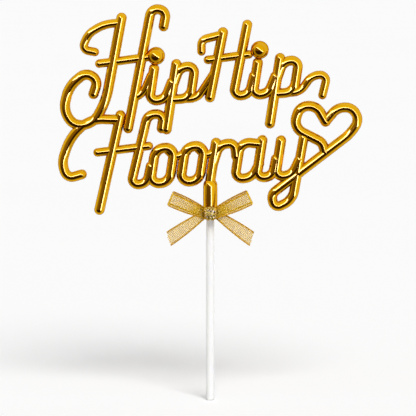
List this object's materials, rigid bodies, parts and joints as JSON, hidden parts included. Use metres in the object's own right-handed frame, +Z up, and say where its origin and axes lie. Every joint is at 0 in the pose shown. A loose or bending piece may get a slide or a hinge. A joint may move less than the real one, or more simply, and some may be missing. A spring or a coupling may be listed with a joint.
{
  "type": "cake topper",
  "caption": "Gold plated script cheer with a heart on a white stick that pushes into a cake, with a mesh ribbon bow tied under the lettering.",
  "frame": {"origin": "on the stick's axis, at the height where the stick goes into the cake", "axes": "+Z up along the stick, -Y towards the viewer of the lettering, +X to that viewer's right"},
  "size_m": [0.1517, 0.0122, 0.1988],
  "materials": {
    "gold_plate": "mirror-bright gold electroplate",
    "white_plastic": "glossy",
    "gold_mesh": "open gold mesh with woven edges",
    "gold_glitter": "glitter",
    "gold_wire": "bright"
  },
  "bodies": {
    "stick": {"stick": "white_plastic"},
    "letters": {"lettering": "gold_plate"},
    "bow": {"bow_ribbon": "gold_mesh", "knot_band": "gold_glitter", "tie_wire": "gold_wire"}
  },
  "joints": [
    {"name": "letters_turn", "type": "hinge", "parent": "stick", "child": "letters", "pos_m": [0, 0, 0.042], "axis": [0, 0, 1], "continuous": true},
    {"name": "bow_turn", "type": "hinge", "parent": "letters", "child": "bow", "pos_m": [0, 0, 0.0451], "axis": [0, 0, 1], "continuous": true}
  ]
}
